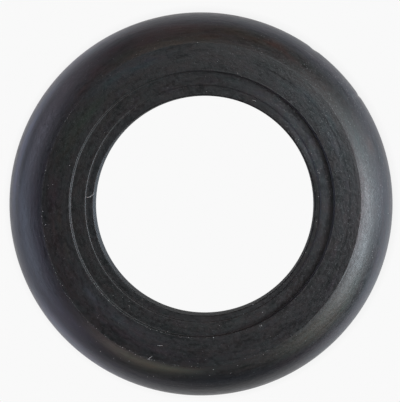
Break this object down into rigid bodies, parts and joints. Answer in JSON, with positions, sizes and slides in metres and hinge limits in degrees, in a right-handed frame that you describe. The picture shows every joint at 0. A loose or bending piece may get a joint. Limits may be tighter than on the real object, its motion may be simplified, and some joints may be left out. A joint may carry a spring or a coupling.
{
  "type": "rubber light grommet",
  "caption": "Round black rubber grommet with a domed front flange, stepped mouth, straight lamp bore and a groove that snaps into a round panel hole.",
  "frame": {"origin": "on the bore axis at the flat rear face, which the grommet lies on", "axes": "+Z along the bore axis, out of the domed front face; X and Y are free, as the ring is round"},
  "size_m": [0.0332, 0.0332, 0.0102],
  "materials": {
    "rubber": "satin black moulded rubber, slightly dusty"
  },
  "bodies": {
    "root": {"grommet": "rubber"}
  },
  "joints": []
}
